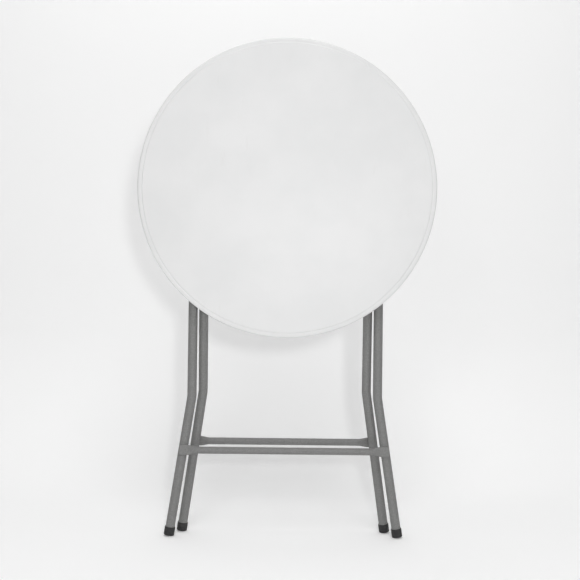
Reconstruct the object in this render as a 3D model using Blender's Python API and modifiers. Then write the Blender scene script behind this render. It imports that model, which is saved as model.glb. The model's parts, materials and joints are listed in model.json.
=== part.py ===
# Folding cocktail table: a round moulded top on two crossed frames of bent steel tube.
# Metres, +Z up. The table is folded and stands on its four feet, with the top hanging in
# front of the frames and its upper face towards -Y. The origin is on the floor, in the middle.
import math

import bmesh
import bpy
from mathutils import Vector

# Gaps
SEAT_GAP = 0.0003
RUN_GAP = 0.0003
CUT_OVERRUN = 0.004
MERGE_DISTANCE = 0.00003

# Fold: each frame's tilt when folded and in use, and its length below the scissor pivot
FOLDED_TILT = math.radians(2.0)
OPEN_TILT = math.radians(29.0)
LOWER_LENGTH = 0.707

# Tubes of the frames
TUBE_DIAMETER = 0.025
TUBE_WALL = 0.0012
TUBE_SIDES = 20
OUTER_WIDTH = 0.505
LEG_GAP = 0.0035
OUTER_SPLAY = math.radians(8.7)
INNER_SPLAY = math.radians(8.25)
OUTER_KNEE_HEIGHT = 0.376
INNER_KNEE_HEIGHT = 0.388
KNEE_RADIUS = 0.080
KNEE_STEPS = 3
BAR_CORNER_RADIUS = 0.055
BAR_CORNER_STEPS = 6
LEG_TOP_OVERHANG = 0.018

# Crossbars with pressed flat ends, and the plain tube that ties the outer legs
BAR_DIAMETER = 0.019
BAR_WALL = 0.0012
BAR_SIDES = 16
BAR_FLAT_HEIGHT = 0.027
BAR_FLAT_THICKNESS = 0.0052
BAR_FLAT_LENGTH = 0.022
BAR_TAPER_LENGTH = 0.028
BAR_TAPER_STEPS = 4
BAR_END_INSET = 0.003
BAR_VENT_DIAMETER = 0.004
OUTER_CROSSBAR_HEIGHT = 0.232
INNER_CROSSBAR_HEIGHT = 0.246
TOP_TUBE_DROP = 0.060

# Foot caps and leg plugs
CAP_DIAMETER = 0.0285
CAP_HEIGHT = 0.023
CAP_FLOOR = 0.004
CAP_EDGE_RADIUS = 0.002
CAP_LIP_RADIUS = 0.0008
PLUG_HEAD_HEIGHT = 0.003
PLUG_LENGTH = 0.012
ROUND_STEPS = 16
EDGE_ARC_STEPS = 3

# Top
TOP_DIAMETER = 0.800
TOP_STEPS = 80
TOP_PLATE = 0.026
TOP_RIM_DROP = 0.016
TOP_RIM_WIDTH = 0.022
TOP_WALL = 0.0026
TOP_EDGE_RADIUS = 0.005
TOP_EDGE_STEPS = 5
TOP_FOOT_RADIUS = 0.004
TOP_RECESS_RADIUS = 0.006
RING_INSET = 0.0122
RING_SLOPE_WIDTH = 0.0024
RING_DROP = 0.0016
BAND_DROP = 0.0011
TOP_VENT_DIAMETER = 0.006
TOP_VENT_OFFSET = 0.040

# Sleeves on the bar that carries the top, and the clips that take them
SLEEVE_WALL = 0.0027
SLEEVE_LENGTH = 0.036
SLEEVE_TO_BEND = 0.021
SLEEVE_CHAMFER = 0.0006
SLEEVE_TO_TOP = 0.003
CLIP_WIDTH = 0.030
CLIP_WALL = 0.005
CLIP_CLEARANCE = 0.001
CLIP_LIP = 0.008
CLIP_FLANGE = 0.0035
CLIP_FLANGE_LENGTH = 0.028
CLIP_ARC_STEPS = 10
CLIP_WINDOW_MARGIN = 0.006
CLIP_CHAMFER = 0.0017
CLIP_SCREW_SPACING = 0.016

# Hinge brackets
BRACKET_SHEET = 0.003
BRACKET_LENGTH = 0.060
BRACKET_FLANGE_WIDTH = 0.026
BRACKET_BEND_RADIUS = 0.004
BRACKET_NOSE_RADIUS = 0.014
BRACKET_SHOULDER = 0.010
BRACKET_ARC_STEPS = 8
BRACKET_SCREW_SPACING = 0.040
BRACKET_RIM_GAP = 0.01044

# Fasteners
BOLT_DIAMETER = 0.008
BOLT_HEAD_DIAMETER = 0.014
BOLT_HEAD_HEIGHT = 0.0042
BOLT_END = 0.002
BOLT_CHAMFER = 0.001
WASHER_THICKNESS = 0.0012
WASHER_DIAMETER = 0.019
WASHER_CHAMFER = 0.0003
NUT_ACROSS_FLATS = 0.013
NUT_HEIGHT = 0.0065
PIN_DIAMETER = 0.008
PIN_HEAD_DIAMETER = 0.0145
PIN_HEAD_HEIGHT = 0.003
PIN_STUB = 0.0012
PIN_CHAMFER = 0.0003
SPACER_DIAMETER = 0.020
SCREW_DIAMETER = 0.0045
SCREW_LENGTH = 0.016
SCREW_TIP = 0.003
SCREW_HEAD_DIAMETER = 0.009
SCREW_HEAD_HEIGHT = 0.0026
SCREW_STEPS = 12
DOME_SHARES = ((0, 1), (0.45, 0.94), (0.8, 0.68), (1, 0.2))

# Places that follow from the sizes above
TUBE_RADIUS = TUBE_DIAMETER / 2
BAR_RADIUS = BAR_DIAMETER / 2
CAP_RADIUS = CAP_DIAMETER / 2
TOP_RADIUS = TOP_DIAMETER / 2
OUTER_X = OUTER_WIDTH / 2
INNER_X = OUTER_X - TUBE_DIAMETER - LEG_GAP
SLEEVE_RADIUS = TUBE_RADIUS + RUN_GAP + SLEEVE_WALL
SLEEVE_OFFSET = INNER_X - BAR_CORNER_RADIUS - SLEEVE_TO_BEND - SLEEVE_LENGTH / 2
RECESS_RADIUS = TOP_RADIUS - TOP_RIM_WIDTH
EAR_X = OUTER_X + TUBE_RADIUS + 2 * SEAT_GAP + WASHER_THICKNESS
BRACKET_X = EAR_X + BRACKET_SHEET

# The brackets' outer corners keep their gap to the rim, which places the hinge under the top.
# The clips sit as far behind its middle, so the frames' upper length follows.
HINGE_OFFSET = (
    math.sqrt((RECESS_RADIUS - BRACKET_RIM_GAP) ** 2 - BRACKET_X**2) - BRACKET_LENGTH / 2
)
CLIP_REACH = 2 * HINGE_OFFSET
UPPER_LENGTH = HINGE_OFFSET / math.sin(OPEN_TILT)
FRAME_LENGTH = UPPER_LENGTH + LOWER_LENGTH
BAR_SPREAD = 2 * UPPER_LENGTH * math.sin(FOLDED_TILT)
HINGE_DROP = SLEEVE_RADIUS + SLEEVE_TO_TOP + BAR_SPREAD
BAR_FACE_OFFSET = TUBE_RADIUS + SEAT_GAP + BAR_FLAT_THICKNESS / 2
FRONT_REACH = HINGE_DROP + TOP_PLATE - BAR_SPREAD / 2
REAR_REACH = (
    (LOWER_LENGTH - INNER_CROSSBAR_HEIGHT) * math.sin(FOLDED_TILT)
    + BAR_FACE_OFFSET
    + BAR_RADIUS
)
PIVOT_Y = (FRONT_REACH - REAR_REACH) / 2


def clear_scene():
    for item in list(bpy.data.objects):
        bpy.data.objects.remove(item, do_unlink=True)


def new_collection(name):
    made = bpy.data.collections.new(name)
    bpy.context.scene.collection.children.link(made)
    return made


def new_material(name, colour, roughness, metallic):
    made = bpy.data.materials.new(name)
    made.use_nodes = True
    made.diffuse_color = (*colour, 1.0)
    shader = made.node_tree.nodes["Principled BSDF"]
    shader.inputs["Base Color"].default_value = (*colour, 1.0)
    shader.inputs["Roughness"].default_value = roughness
    shader.inputs["Metallic"].default_value = metallic
    return made


def new_empty(name, location, turn_x):
    made = bpy.data.objects.new(name, None)
    made.empty_display_size = TUBE_DIAMETER
    made.location = location
    made.rotation_euler = (turn_x, 0, 0)
    PARTS.objects.link(made)
    return made


def place(item, parent, location=(0, 0, 0), rotation=(0, 0, 0)):
    item.parent = parent
    item.location = location
    item.rotation_euler = rotation
    return item


def new_part(name, mesh, material, sharp=30.0):
    made = bpy.data.objects.new(name, mesh)
    PARTS.objects.link(made)
    mesh.materials.clear()
    mesh.materials.append(material)
    mesh.shade_smooth()
    mesh.set_sharp_from_angle(angle=math.radians(sharp))
    return made


def new_cutter(name, mesh):
    made = bpy.data.objects.new(name, mesh)
    CUTTERS.objects.link(made)
    made.hide_render = True
    made.display_type = "WIRE"
    return made


def cut(item, cutter, operation="DIFFERENCE"):
    added = item.modifiers.new(operation.title() + "_" + cutter.name, "BOOLEAN")
    added.operation = operation
    added.solver = "EXACT"
    added.object = cutter


def drill(item, name, radius, length, parent, location, rotation=(0, 0, 0)):
    """A round hole centred on location, along the cutter's own Z."""
    mesh = bpy.data.meshes.new(name)
    shape = bmesh.new()
    bmesh.ops.create_cone(
        shape,
        cap_ends=True,
        segments=ROUND_STEPS,
        radius1=radius,
        radius2=radius,
        depth=length,
    )
    shape.to_mesh(mesh)
    shape.free()
    cut(item, place(new_cutter(name, mesh), parent, location, rotation))


def fillet(corners, bends):
    """Points of a path whose inner corners are rounded, each by its (radius, steps)."""
    points = [Vector(corners[0])]
    for index, (radius, steps) in enumerate(bends, start=1):
        corner = Vector(corners[index])
        back = (Vector(corners[index - 1]) - corner).normalized()
        ahead = (Vector(corners[index + 1]) - corner).normalized()
        half = back.angle(ahead) / 2
        middle = corner + (back + ahead).normalized() * (radius / math.sin(half))
        first = corner + back * (radius / math.tan(half)) - middle
        last = corner + ahead * (radius / math.tan(half)) - middle
        for step in range(steps + 1):
            spoke = first.slerp(last, step / steps).normalized()
            points.append(middle + spoke * first.length)
    points.append(Vector(corners[-1]))
    return points


def lengthened(points, extra):
    """The same path with both ends moved outwards."""
    first = points[0] + (points[0] - points[1]).normalized() * extra
    last = points[-1] + (points[-1] - points[-2]).normalized() * extra
    return [first] + points[1:-1] + [last]


def rod_mesh(name, points, radius, sides):
    """A solid round rod along the points, as a closed mesh."""
    curve = bpy.data.curves.new(name, "CURVE")
    curve.dimensions = "3D"
    curve.bevel_depth = radius
    curve.bevel_resolution = sides // 2 - 2
    curve.use_fill_caps = True
    spline = curve.splines.new("POLY")
    spline.points.add(len(points) - 1)
    for spot, point in zip(spline.points, points):
        spot.co = (*point, 1.0)
    return mesh_of_curve(name, curve)


def plate_mesh(name, outlines, thickness):
    """A flat outline, with any holes in it, extruded to the thickness about its own plane."""
    curve = bpy.data.curves.new(name, "CURVE")
    curve.dimensions = "2D"
    curve.fill_mode = "BOTH"
    curve.extrude = thickness / 2
    for outline in outlines:
        spline = curve.splines.new("POLY")
        spline.use_cyclic_u = True
        spline.points.add(len(outline) - 1)
        for spot, point in zip(spline.points, outline):
            spot.co = (point[0], point[1], 0, 1.0)
    return mesh_of_curve(name, curve)


def mesh_of_curve(name, curve):
    held = bpy.data.objects.new(name + "_curve", curve)
    bpy.context.scene.collection.objects.link(held)
    graph = bpy.context.evaluated_depsgraph_get()
    mesh = bpy.data.meshes.new_from_object(held.evaluated_get(graph))
    mesh.name = name
    bpy.data.objects.remove(held, do_unlink=True)
    shape = bmesh.new()
    shape.from_mesh(mesh)
    bmesh.ops.remove_doubles(shape, verts=shape.verts, dist=MERGE_DISTANCE)
    bmesh.ops.recalc_face_normals(shape, faces=shape.faces)
    shape.to_mesh(mesh)
    shape.free()
    return mesh


def turned_part(name, profile, material, steps=ROUND_STEPS, closed=False, cutter=False):
    """A profile of (radius, height) points turned about Z. It runs down its outer side."""
    mesh = bpy.data.meshes.new(name)
    points = [(radius, 0, height) for radius, height in profile]
    edges = [(index, index + 1) for index in range(len(points) - 1)]
    if closed:
        edges.append((len(points) - 1, 0))
    mesh.from_pydata(points, edges, [])
    made = new_cutter(name, mesh) if cutter else new_part(name, mesh, material)
    turn = made.modifiers.new("Turn", "SCREW")
    turn.axis = "Z"
    turn.steps = steps
    turn.render_steps = steps
    turn.use_merge_vertices = True
    turn.merge_threshold = MERGE_DISTANCE
    turn.use_normal_calculate = False
    turn.use_smooth_shade = True
    return made


def arc(centre, radius, start, end, steps):
    """Points of a round corner in the plane, from one angle to another in degrees."""
    points = []
    for step in range(steps + 1):
        angle = math.radians(start + (end - start) * step / steps)
        points.append((centre[0] + radius * math.cos(angle), centre[1] + radius * math.sin(angle)))
    return points


def ring_profile(inner, outer, length, chamfer):
    """The section of a plain ring, with its outer edges broken, centred on the origin."""
    half = length / 2
    return [
        (inner, half),
        (outer - chamfer, half),
        (outer, half - chamfer),
        (outer, chamfer - half),
        (outer - chamfer, -half),
        (inner, -half),
    ]


def cap_profile():
    bore = TUBE_RADIUS + SEAT_GAP
    lip = (CAP_RADIUS - CAP_LIP_RADIUS, CAP_HEIGHT - CAP_LIP_RADIUS)
    edge = (CAP_RADIUS - CAP_EDGE_RADIUS, CAP_EDGE_RADIUS)
    return [
        (0, CAP_FLOOR),
        (bore, CAP_FLOOR),
        (bore, CAP_HEIGHT),
        *arc(lip, CAP_LIP_RADIUS, 90, 0, EDGE_ARC_STEPS),
        *arc(edge, CAP_EDGE_RADIUS, 0, -90, EDGE_ARC_STEPS),
        (0, 0),
    ]


def foot_sink(splay):
    """How far a tilted foot cap reaches below the middle of its lower face."""
    lean = math.acos(math.cos(splay) * math.cos(FOLDED_TILT))
    return max(
        radius * math.sin(lean) - height * math.cos(lean) for radius, height in cap_profile()
    )


def head_profile(head_radius, head_height, shank_radius, shank_length, tip):
    """A low domed head above the origin and a shank below it."""
    return [
        *[(head_radius * across, head_height * up) for across, up in DOME_SHARES],
        (head_radius, 0),
        (shank_radius, 0),
        (shank_radius, tip - shank_length),
        (shank_radius - tip / 2, -shank_length),
        (0, -shank_length),
    ]


def hollow_tube(name, points, radius, wall, sides, material, parent):
    """A tube that is open at both ends."""
    made = place(new_part(name, rod_mesh(name, points, radius, sides), material), parent)
    inside = rod_mesh(name + "_bore", lengthened(points, CUT_OVERRUN), radius - wall, sides)
    cut(made, place(new_cutter(name + "_bore", inside), parent))
    return made


def knee_point(side, half_width, knee_height):
    return (side * half_width, 0, knee_height - FRAME_LENGTH)


def foot_point(side, half_width, knee_height, splay, above):
    """A point on a leg's lower run, this far along it from the bottom of its foot."""
    run = knee_height / math.cos(splay) - above
    knee = knee_point(side, half_width, knee_height)
    return (
        knee[0] + side * run * math.sin(splay),
        0,
        knee[2] - run * math.cos(splay),
    )


def leg_x(half_width, knee_height, splay, height):
    """How far out a leg's middle is at a height on its frame."""
    return half_width + max(0, knee_height - height) * math.tan(splay)


def drill_leg(leg, name, side, half_width, height, radius, parent):
    length = TUBE_DIAMETER + 2 * CUT_OVERRUN
    where = (side * half_width, 0, height)
    drill(leg, name, radius, length, parent, where, (0, math.pi / 2, 0))


def crossbar_mesh(name, half_length, radius, flat_height, flat_thickness):
    """A tube along X whose ends are pressed flat: rings of one oval that changes along it."""
    outline = [(half_length, 1)]
    for step in range(BAR_TAPER_STEPS + 1):
        share = step / BAR_TAPER_STEPS
        along = half_length - BAR_FLAT_LENGTH - BAR_TAPER_LENGTH * share
        outline.append((along, (1 + math.cos(math.pi * share)) / 2))
    outline += [(-along, flat) for along, flat in reversed(outline)]
    shape = bmesh.new()
    rings = []
    for along, flat in outline:
        tall = radius + (flat_height / 2 - radius) * flat
        deep = radius + (flat_thickness / 2 - radius) * flat
        ring = []
        for turn in range(BAR_SIDES):
            angle = 2 * math.pi * turn / BAR_SIDES
            ring.append(shape.verts.new((along, deep * math.cos(angle), tall * math.sin(angle))))
        rings.append(ring)
    for ring, following in zip(rings, rings[1:]):
        for turn in range(BAR_SIDES):
            after = (turn + 1) % BAR_SIDES
            shape.faces.new((ring[turn], ring[after], following[after], following[turn]))
    shape.faces.new(rings[0])
    shape.faces.new(rings[-1])
    bmesh.ops.recalc_face_normals(shape, faces=shape.faces)
    mesh = bpy.data.meshes.new(name)
    shape.to_mesh(mesh)
    shape.free()
    return mesh


def crossbar(name, half_length, height, face, material, parent):
    """A crossbar on the front (-1) or rear (+1) face of a frame, with a drain hole inwards."""
    where = (0, face * BAR_FACE_OFFSET, height - FRAME_LENGTH)
    solid = crossbar_mesh(name, half_length, BAR_RADIUS, BAR_FLAT_HEIGHT, BAR_FLAT_THICKNESS)
    made = place(new_part(name, solid, material), parent, where)
    hollow = crossbar_mesh(
        name + "_bore",
        half_length - BAR_WALL,
        BAR_RADIUS - BAR_WALL,
        BAR_FLAT_HEIGHT - 2 * BAR_WALL,
        BAR_FLAT_THICKNESS - 2 * BAR_WALL,
    )
    cut(made, place(new_cutter(name + "_bore", hollow), parent, where))
    vent = (0, where[1] - face * BAR_RADIUS, where[2])
    turn = (math.pi / 2, 0, 0)
    drill(made, name + "_vent", BAR_VENT_DIAMETER / 2, BAR_RADIUS, parent, vent, turn)
    return made


def foot_cap(name, side, half_width, knee_height, splay, parent):
    made = turned_part(name, cap_profile(), RUBBER)
    where = foot_point(side, half_width, knee_height, splay, 0)
    return place(made, parent, where, (0, -side * splay, 0))


def pivot_pin(name, side, half_width, outward, parent):
    """Half of the scissor pivot: a headed pin through one leg, with its head on the far side."""
    length = TUBE_DIAMETER + SEAT_GAP + PIN_STUB
    section = head_profile(
        PIN_HEAD_DIAMETER / 2, PIN_HEAD_HEIGHT, PIN_DIAMETER / 2, length, PIN_CHAMFER
    )
    made = turned_part(name, section, ZINC)
    seat = half_width + outward * (TUBE_RADIUS + SEAT_GAP)
    turn = side * outward * math.pi / 2
    return place(made, parent, (side * seat, 0, -UPPER_LENGTH), (0, turn, 0))


def make_outer_frame(parent):
    for side, hand in SIDES:
        name = "outer_leg_" + hand
        top = (side * OUTER_X, 0, LEG_TOP_OVERHANG)
        knee = knee_point(side, OUTER_X, OUTER_KNEE_HEIGHT)
        end = CAP_FLOOR + SEAT_GAP
        foot = foot_point(side, OUTER_X, OUTER_KNEE_HEIGHT, OUTER_SPLAY, end)
        path = fillet([top, knee, foot], [(KNEE_RADIUS, KNEE_STEPS)])
        leg = hollow_tube(name, path, TUBE_RADIUS, TUBE_WALL, TUBE_SIDES, STEEL, parent)
        bolt = BOLT_DIAMETER / 2 + RUN_GAP
        pin = PIN_DIAMETER / 2 + RUN_GAP
        drill_leg(leg, name + "_hinge_hole", side, OUTER_X, 0, bolt, parent)
        drill_leg(leg, name + "_pivot_hole", side, OUTER_X, -UPPER_LENGTH, pin, parent)
        foot_cap("outer_foot_cap_" + hand, side, OUTER_X, OUTER_KNEE_HEIGHT, OUTER_SPLAY, parent)
        make_leg_plug("leg_plug_" + hand, side, parent)
        pivot_pin("pivot_pin_outer_" + hand, side, OUTER_X, 1, parent)
        make_spacer("pivot_spacer_" + hand, side, parent)
    half = OUTER_X - TUBE_RADIUS - SEAT_GAP
    ends = [Vector((-half, 0, -TOP_TUBE_DROP)), Vector((half, 0, -TOP_TUBE_DROP))]
    hollow_tube("outer_top_tube", ends, BAR_RADIUS, BAR_WALL, BAR_SIDES, STEEL, parent)
    middle = leg_x(OUTER_X, OUTER_KNEE_HEIGHT, OUTER_SPLAY, OUTER_CROSSBAR_HEIGHT)
    half = middle + TUBE_RADIUS - BAR_END_INSET
    crossbar("outer_crossbar", half, OUTER_CROSSBAR_HEIGHT, -1, STEEL, parent)


def make_inner_frame(parent):
    name = "inner_frame"
    end = CAP_FLOOR + SEAT_GAP
    corners = [
        foot_point(-1, INNER_X, INNER_KNEE_HEIGHT, INNER_SPLAY, end),
        knee_point(-1, INNER_X, INNER_KNEE_HEIGHT),
        (-INNER_X, 0, 0),
        (INNER_X, 0, 0),
        knee_point(1, INNER_X, INNER_KNEE_HEIGHT),
        foot_point(1, INNER_X, INNER_KNEE_HEIGHT, INNER_SPLAY, end),
    ]
    knee = (KNEE_RADIUS, KNEE_STEPS)
    corner = (BAR_CORNER_RADIUS, BAR_CORNER_STEPS)
    path = fillet(corners, [knee, corner, corner, knee])
    frame = hollow_tube(name, path, TUBE_RADIUS, TUBE_WALL, TUBE_SIDES, STEEL, parent)
    for side, hand in SIDES:
        pin = PIN_DIAMETER / 2 + RUN_GAP
        drill_leg(frame, "inner_pivot_hole_" + hand, side, INNER_X, -UPPER_LENGTH, pin, parent)
        foot_cap("inner_foot_cap_" + hand, side, INNER_X, INNER_KNEE_HEIGHT, INNER_SPLAY, parent)
        pivot_pin("pivot_pin_inner_" + hand, side, INNER_X, -1, parent)
    middle = leg_x(INNER_X, INNER_KNEE_HEIGHT, INNER_SPLAY, INNER_CROSSBAR_HEIGHT)
    half = middle + TUBE_RADIUS - BAR_END_INSET
    crossbar("inner_crossbar", half, INNER_CROSSBAR_HEIGHT, 1, STEEL, parent)


def make_leg_plug(name, side, parent):
    fit = TUBE_RADIUS - TUBE_WALL - SEAT_GAP
    profile = [
        (0, PLUG_HEAD_HEIGHT),
        (TUBE_RADIUS - PLUG_HEAD_HEIGHT / 2, PLUG_HEAD_HEIGHT),
        *arc(
            (TUBE_RADIUS - PLUG_HEAD_HEIGHT / 2, PLUG_HEAD_HEIGHT / 2),
            PLUG_HEAD_HEIGHT / 2,
            60,
            0,
            EDGE_ARC_STEPS,
        ),
        (TUBE_RADIUS, 0),
        (fit, 0),
        (fit, -PLUG_LENGTH),
        (0, -PLUG_LENGTH),
    ]
    made = turned_part(name, profile, RUBBER)
    return place(made, parent, (side * OUTER_X, 0, LEG_TOP_OVERHANG + SEAT_GAP))


def make_spacer(name, side, parent):
    """The nylon ring between the two legs, on the outer leg's half of the pivot."""
    bore = PIN_DIAMETER / 2 + SEAT_GAP
    section = ring_profile(bore, SPACER_DIAMETER / 2, WASHER_THICKNESS, WASHER_CHAMFER)
    made = turned_part(name, section, NYLON, closed=True)
    middle = OUTER_X - TUBE_RADIUS - SEAT_GAP - WASHER_THICKNESS / 2
    return place(made, parent, (side * middle, 0, -UPPER_LENGTH), (0, math.pi / 2, 0))


def make_sleeves(parent):
    for side, hand in SIDES:
        section = ring_profile(TUBE_RADIUS + RUN_GAP, SLEEVE_RADIUS, SLEEVE_LENGTH, SLEEVE_CHAMFER)
        made = turned_part("bar_sleeve_" + hand, section, NYLON, closed=True)
        place(made, parent, (side * SLEEVE_OFFSET, 0, 0), (0, math.pi / 2, 0))


def top_profile(face, under, foot):
    """The top's outer section, from the middle of its upper face round to the underside."""
    edge = (TOP_RADIUS - TOP_EDGE_RADIUS, face - RING_DROP - BAND_DROP - TOP_EDGE_RADIUS)
    low = (TOP_RADIUS - TOP_FOOT_RADIUS, foot + TOP_FOOT_RADIUS)
    corner = (RECESS_RADIUS - TOP_RECESS_RADIUS, under - TOP_RECESS_RADIUS)
    return [
        (0, face),
        (TOP_RADIUS - RING_INSET - RING_SLOPE_WIDTH, face),
        (TOP_RADIUS - RING_INSET, face - RING_DROP),
        *arc(edge, TOP_EDGE_RADIUS, 90, 0, TOP_EDGE_STEPS),
        *arc(low, TOP_FOOT_RADIUS, 0, -90, EDGE_ARC_STEPS),
        (RECESS_RADIUS + TOP_FOOT_RADIUS / 2, foot),
        (RECESS_RADIUS, foot + TOP_FOOT_RADIUS / 2),
        *arc(corner, TOP_RECESS_RADIUS, 0, 90, EDGE_ARC_STEPS),
        (0, under),
    ]


def cavity_profile(face, under, foot):
    """The hollow inside the top, one wall in from its outer section."""
    reach = TOP_RADIUS - TOP_WALL
    rim_inside = RECESS_RADIUS + TOP_WALL
    edge_drop = RING_DROP + BAND_DROP + TOP_EDGE_RADIUS
    return [
        (0, face - TOP_WALL),
        (TOP_RADIUS - RING_INSET - RING_SLOPE_WIDTH, face - TOP_WALL),
        (TOP_RADIUS - RING_INSET, face - RING_DROP - TOP_WALL),
        (TOP_RADIUS - TOP_EDGE_RADIUS, face - RING_DROP - BAND_DROP - TOP_WALL),
        (reach, face - edge_drop),
        (reach, foot + TOP_FOOT_RADIUS),
        (TOP_RADIUS - TOP_FOOT_RADIUS, foot + TOP_WALL),
        (rim_inside + TOP_FOOT_RADIUS / 2, foot + TOP_WALL),
        (rim_inside, foot + TOP_FOOT_RADIUS),
        (rim_inside, under - TOP_RECESS_RADIUS + TOP_WALL),
        (rim_inside - TOP_RECESS_RADIUS, under + TOP_WALL),
        (0, under + TOP_WALL),
    ]


def screw_spots():
    """Name, place and plate thickness of each screw in the underside, from the hinge axis."""
    spots = []
    for side, hand in SIDES:
        across = side * (EAR_X - BRACKET_FLANGE_WIDTH / 2)
        for number, sign in enumerate((1, -1), start=1):
            along = sign * BRACKET_SCREW_SPACING / 2
            spots.append((f"bracket_screw_{hand}_{number}", across, along, BRACKET_SHEET))
        hook = SLEEVE_RADIUS + CLIP_CLEARANCE + CLIP_WALL
        back = -CLIP_REACH - hook - CLIP_FLANGE_LENGTH / 2
        for number, sign in enumerate((1, -1), start=1):
            across = side * SLEEVE_OFFSET + sign * CLIP_SCREW_SPACING / 2
            spots.append((f"clip_screw_{hand}_{number}", across, back, CLIP_FLANGE))
    return spots


def make_tabletop(parent):
    under = HINGE_DROP
    face = under + TOP_PLATE
    foot = under - TOP_RIM_DROP
    middle = (0, -HINGE_OFFSET, 0)
    top = turned_part("tabletop", top_profile(face, under, foot), PLASTIC, TOP_STEPS)
    place(top, parent, middle)
    hollow = cavity_profile(face, under, foot)
    inside = turned_part("tabletop_cavity", hollow, None, TOP_STEPS, cutter=True)
    cut(top, place(inside, parent, middle))
    depth = 2 * TOP_WALL + 2 * CUT_OVERRUN
    vent = (0, TOP_VENT_OFFSET - HINGE_OFFSET, under)
    drill(top, "tabletop_vent", TOP_VENT_DIAMETER / 2, depth, parent, vent)
    for name, across, along, sheet in screw_spots():
        hole = SCREW_DIAMETER / 2 + SEAT_GAP
        drill(top, name + "_hole", hole, depth, parent, (across, along, under))
        make_screw(name, parent, (across, along, under - sheet - 2 * SEAT_GAP))


def make_screw(name, parent, where):
    section = head_profile(
        SCREW_HEAD_DIAMETER / 2,
        SCREW_HEAD_HEIGHT,
        SCREW_DIAMETER / 2,
        SCREW_LENGTH,
        SCREW_TIP,
    )
    made = turned_part(name, section, ZINC, SCREW_STEPS)
    return place(made, parent, where, (math.pi, 0, 0))


def make_clip(name, side, parent):
    """A hook that the sleeve slides into as the legs open. Its mouth faces the hinge."""
    mouth = SLEEVE_RADIUS + CLIP_CLEARANCE
    hook = mouth + CLIP_WALL
    top = HINGE_DROP - SEAT_GAP
    back = -hook - CLIP_FLANGE_LENGTH
    outline = [
        (back, top),
        (CLIP_LIP, top),
        (CLIP_LIP, mouth),
        *arc((0, 0), mouth, 90, 270, CLIP_ARC_STEPS),
        (CLIP_LIP, -mouth),
        (CLIP_LIP, CLIP_CHAMFER - hook),
        (CLIP_LIP - CLIP_CHAMFER, -hook),
        *arc((0, 0), hook, 270, 180, CLIP_ARC_STEPS),
        (-hook, top - CLIP_FLANGE),
        (back, top - CLIP_FLANGE),
    ]
    margin = CLIP_WINDOW_MARGIN
    window = [
        (margin - hook, mouth + margin),
        (CLIP_LIP - margin, mouth + margin),
        (CLIP_LIP - margin, top - margin),
        (margin - hook, top - margin),
    ]
    made = new_part(name, plate_mesh(name, [outline, window], CLIP_WIDTH), NYLON)
    place(made, parent, (side * SLEEVE_OFFSET, -CLIP_REACH, 0), UPRIGHT)
    for screw, across, along, sheet in screw_spots():
        if screw.startswith("clip_screw_" + name.split("_")[-1]):
            where = (across, along, HINGE_DROP - sheet)
            hole = SCREW_DIAMETER / 2 + SEAT_GAP
            drill(made, screw + "_plate_hole", hole, 2 * sheet + CUT_OVERRUN, parent, where)


def make_bracket(name, side, parent):
    """An L of folded sheet: a flange on the underside, and an ear that the hinge bolt goes through."""
    top = HINGE_DROP - SEAT_GAP
    bend = BRACKET_BEND_RADIUS + BRACKET_SHEET
    section = [
        (EAR_X - BRACKET_FLANGE_WIDTH, top),
        *arc((BRACKET_X - bend, top - bend), bend, 90, 0, EDGE_ARC_STEPS),
        (BRACKET_X, -BRACKET_NOSE_RADIUS - CUT_OVERRUN),
        (EAR_X, -BRACKET_NOSE_RADIUS - CUT_OVERRUN),
        *arc((BRACKET_X - bend, top - bend), BRACKET_BEND_RADIUS, 0, 90, EDGE_ARC_STEPS),
        (EAR_X - BRACKET_FLANGE_WIDTH, top - BRACKET_SHEET),
    ]
    section = [(side * across, height) for across, height in section]
    made = new_part(name, plate_mesh(name, [section], BRACKET_LENGTH), STEEL)
    place(made, parent, (0, 0, 0), (math.pi / 2, 0, 0))
    half = BRACKET_LENGTH / 2 + CUT_OVERRUN
    shoulder = top - BRACKET_SHEET - BRACKET_SHOULDER
    shape = [
        (half, top + CUT_OVERRUN),
        (-half, top + CUT_OVERRUN),
        (-half, top - BRACKET_SHEET - SEAT_GAP),
        (-half + CUT_OVERRUN, shoulder),
        *arc((0, 0), BRACKET_NOSE_RADIUS, 200, 340, BRACKET_ARC_STEPS),
        (half - CUT_OVERRUN, shoulder),
        (half, top - BRACKET_SHEET - SEAT_GAP),
    ]
    width = 2 * (BRACKET_X + CUT_OVERRUN)
    trim = new_cutter(name + "_trim", plate_mesh(name + "_trim", [shape], width))
    cut(made, place(trim, parent, (0, 0, 0), UPRIGHT), "INTERSECT")
    where = (side * (EAR_X + BRACKET_SHEET / 2), 0, 0)
    hole = BOLT_DIAMETER / 2 + RUN_GAP
    deep = BRACKET_SHEET + CUT_OVERRUN
    drill(made, name + "_bolt_hole", hole, deep, parent, where, (0, math.pi / 2, 0))
    for screw, across, along, sheet in screw_spots():
        if screw.startswith("bracket_screw_" + name.split("_")[-1]):
            spot = (across, along, HINGE_DROP - sheet)
            small = SCREW_DIAMETER / 2 + SEAT_GAP
            drill(made, screw + "_plate_hole", small, 2 * sheet + CUT_OVERRUN, parent, spot)


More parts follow.
